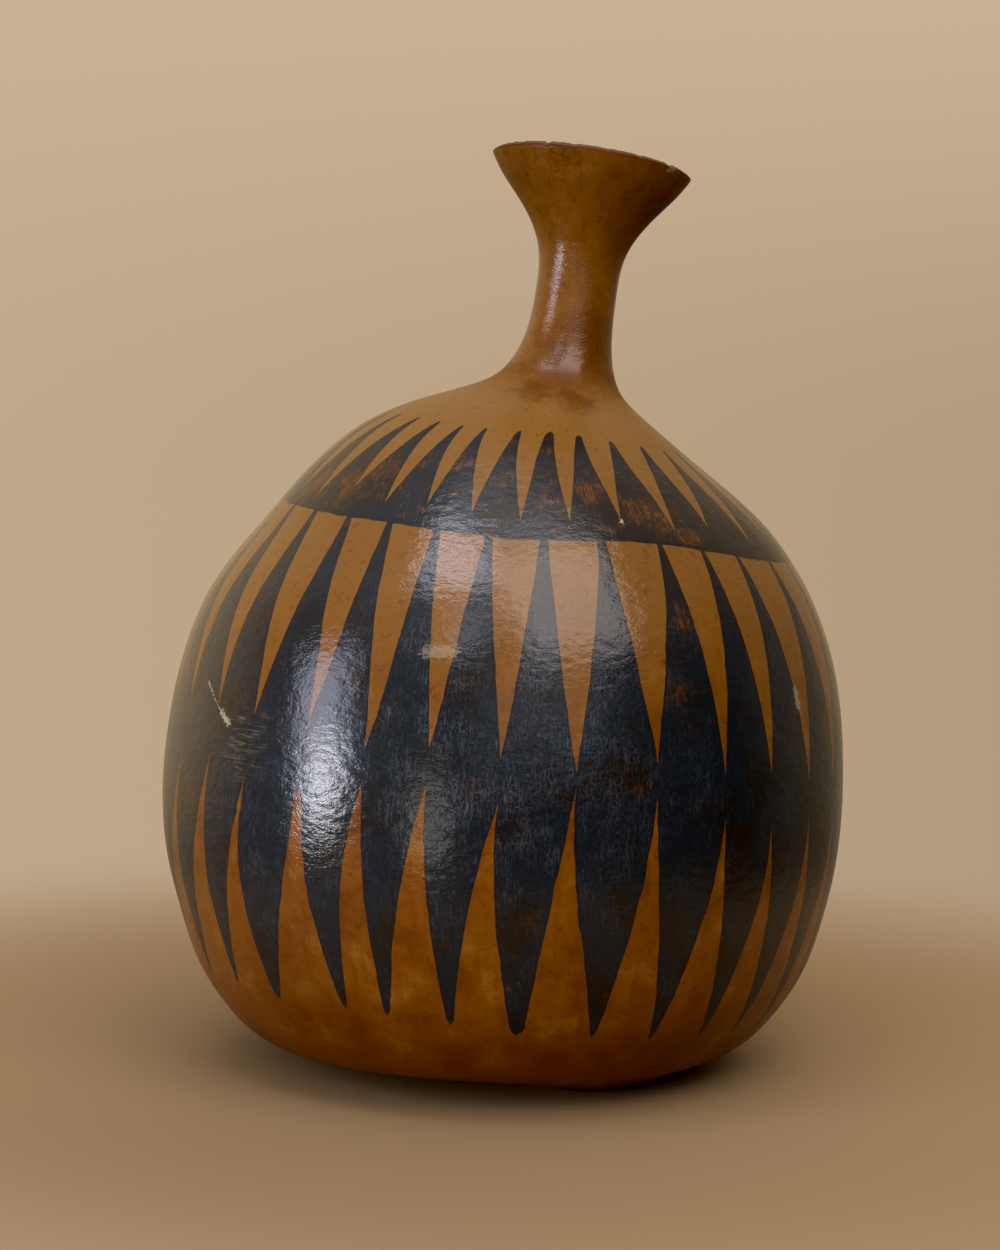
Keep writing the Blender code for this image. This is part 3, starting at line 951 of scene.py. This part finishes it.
def addLamp(name, turn, lift, distance, lean, size, power, colour):
    turn, lift = math.radians(turn), math.radians(lift)
    light = bpy.data.lights.new(name, "AREA")
    light.shape = "RECTANGLE"
    light.size, light.size_y = size
    light.energy = power
    light.color = linear(colour)[:3]
    lamp = bpy.data.objects.new(name, light)
    flat = math.cos(lift)
    away = Vector((math.sin(turn) * flat, -math.cos(turn) * flat, math.sin(lift))) * distance
    lamp.location = Vector(studio["middle"]) + away
    facing = away.to_track_quat("Z", "Y") @ Quaternion((0, 0, 1), math.radians(lean))
    lamp.rotation_euler = facing.to_euler()
    bpy.context.scene.collection.objects.link(lamp)
    return lamp


# Matt paper under the gourd: it gives no gloss, and thins out to nothing so that no edge shows
def makePaper():
    material, tree, shader = newMaterial("mattPaper")
    shader.inputs["Base Color"].default_value = linear(studio["floorColour"])
    shader.inputs["Roughness"].default_value = studio["floorRoughness"]
    place = addNode(tree, "TexCoord", {}, {}, "Object")
    reach = addNode(tree, "VectorMath", {"operation": "LENGTH"}, {0: place}, "Value")
    fade = {"From Min": studio["floorRadius"], "From Max": studio["floorSolid"]}
    cover = addNode(tree, "MapRange", {"interpolation_type": "SMOOTHERSTEP"}, {0: reach, **fade})
    tree.links.new(cover, shader.inputs["Alpha"])
    return material


def makeWall():
    # the eye sees a plain pale wall all round; the gourd is lit by a room that is dim in front
    world = bpy.data.worlds.new("paleWall")
    world.use_nodes = True
    tree = world.node_tree
    towards = addNode(tree, "TexCoord", {}, {}, "Generated")
    way = addNode(tree, "SeparateXYZ", {}, {0: towards}).node.outputs
    shares = {}
    for name, (axis, rise, *span) in studio["shares"].items():
        links = {0: way[axis], **dict(zip(reaches, span))}
        shares[name] = addNode(tree, "MapRange", {"interpolation_type": rise}, links)
    behind = shares["behind"]
    for name in ("dimmer", "sunk"):
        behind = addNode(tree, "Math", times, {0: behind, 1: shares[name]})
    above = addNode(tree, "Math", times, {0: shares["above"], 1: shares["leftward"]})
    seen, lit = linear(studio["wallLeft"]), linear(studio["roomLight"])
    for share, name in ((shares["right"], "wallRight"), (shares["high"], "wallTop")):
        seen = addNode(tree, "Mix", colours, {0: share, 6: seen, 7: linear(studio[name])}, 2)
    for share, name in ((behind, "wallLight"), (above, "ceilingLight")):
        lit = addNode(tree, "Mix", colours, {0: share, 6: lit, 7: linear(studio[name])}, 2)
    eye = addNode(tree, "LightPath", {}, {}, "Is Camera Ray")
    shown = addNode(tree, "Mix", colours, {0: eye, 6: lit, 7: seen}, 2)
    tree.links.new(shown, tree.nodes["Background"].inputs["Color"])
    bpy.context.scene.world = world


def makeStudio():
    bm = bmesh.new()
    bmesh.ops.create_circle(bm, cap_ends=True, segments=studio["floorSides"], radius=studio["floorRadius"])
    mesh = bpy.data.meshes.new("studioFloor")
    bm.to_mesh(mesh)
    bm.free()
    floor = bpy.data.objects.new("studioFloor", mesh)
    bpy.context.scene.collection.objects.link(floor)
    mesh.materials.append(makePaper())
    makeWall()
    for lamp in studio["lamps"]:
        addLamp(*lamp)
    for lamp in studio["fills"]:
        addLamp(*lamp).visible_glossy = False


# The photograph's viewpoint, found from the ellipses of what the gourd stood on
view = {
    "place": (-6.4, -1006.2, 237.8),
    "down": 0.0950,  # radians
    "turn": 0.0044,
    "roll": 0.0179,
    "focalPixels": 3100.0,
    "framePixels": 1000.0,
    "sensor": 36.0,
    "nearest": 0.01,  # metres
    "blackPoint": 0.006,
}


def makeCamera():
    camera = bpy.data.cameras.new("camera")
    camera.sensor_fit = "HORIZONTAL"
    camera.sensor_width = view["sensor"]
    camera.lens = view["sensor"] * view["focalPixels"] / view["framePixels"]
    camera.clip_start = view["nearest"]
    eye = bpy.data.objects.new("camera", camera)
    turned = Matrix.Rotation(-view["turn"], 4, "Z") @ Matrix.Rotation(math.pi / 2 - view["down"], 4, "X")
    turned = turned @ Matrix.Rotation(view["roll"], 4, "Z")
    eye.matrix_world = Matrix.Translation(Vector(view["place"]) * millimetre) @ turned
    bpy.context.scene.collection.objects.link(eye)
    bpy.context.scene.camera = eye


makeStudio()
makeCamera()
picture = bpy.context.scene.view_settings
picture.view_transform = "Standard"
picture.look = "None"
# a camera's black point: the faintest light falls to black
picture.use_curve_mapping = True
picture.curve_mapping.black_level = (view["blackPoint"],) * 3
picture.curve_mapping.update()
print("studio and camera ready")
